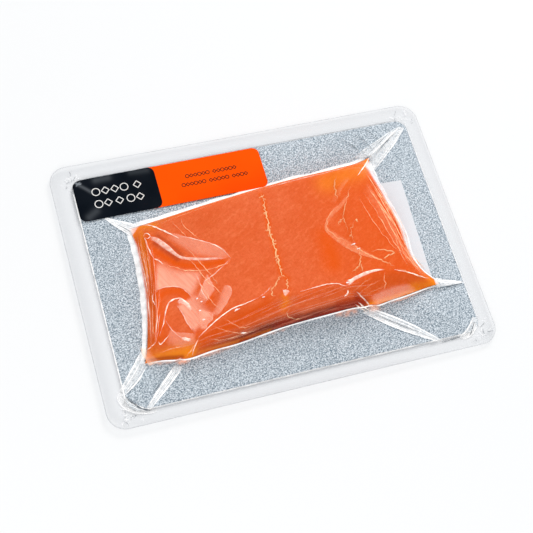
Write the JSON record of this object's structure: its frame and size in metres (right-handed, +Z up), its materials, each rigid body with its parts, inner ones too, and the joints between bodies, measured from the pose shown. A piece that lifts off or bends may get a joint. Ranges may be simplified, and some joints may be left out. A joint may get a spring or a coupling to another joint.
{
  "type": "pack of cured salmon",
  "caption": "Flat vacuum pack: a thick piece of cured salmon on a silver card between clear films sealed in a flange, with a black and an orange label.",
  "frame": {"origin": "on the table, under the middle of the pack's outline", "axes": "+X along the pack's length, +Y across it towards the labels, +Z up"},
  "size_m": [0.232, 0.1632, 0.0193],
  "materials": {
    "clear_film": "clear glossy film",
    "silver_foil": "silver foil with a fine sparkling grain",
    "salmon_flesh": "moist orange flesh",
    "white_paper": "matt white paper",
    "black_print": "smooth black print",
    "orange_print": "smooth orange print"
  },
  "bodies": {
    "root": {"base_film": "clear_film", "clear_cover": "clear_film", "foil_card": "silver_foil", "salmon_fillet": "salmon_flesh", "paper_slip": "white_paper", "black_label": "black_print", "orange_label": "orange_print"}
  },
  "joints": []
}
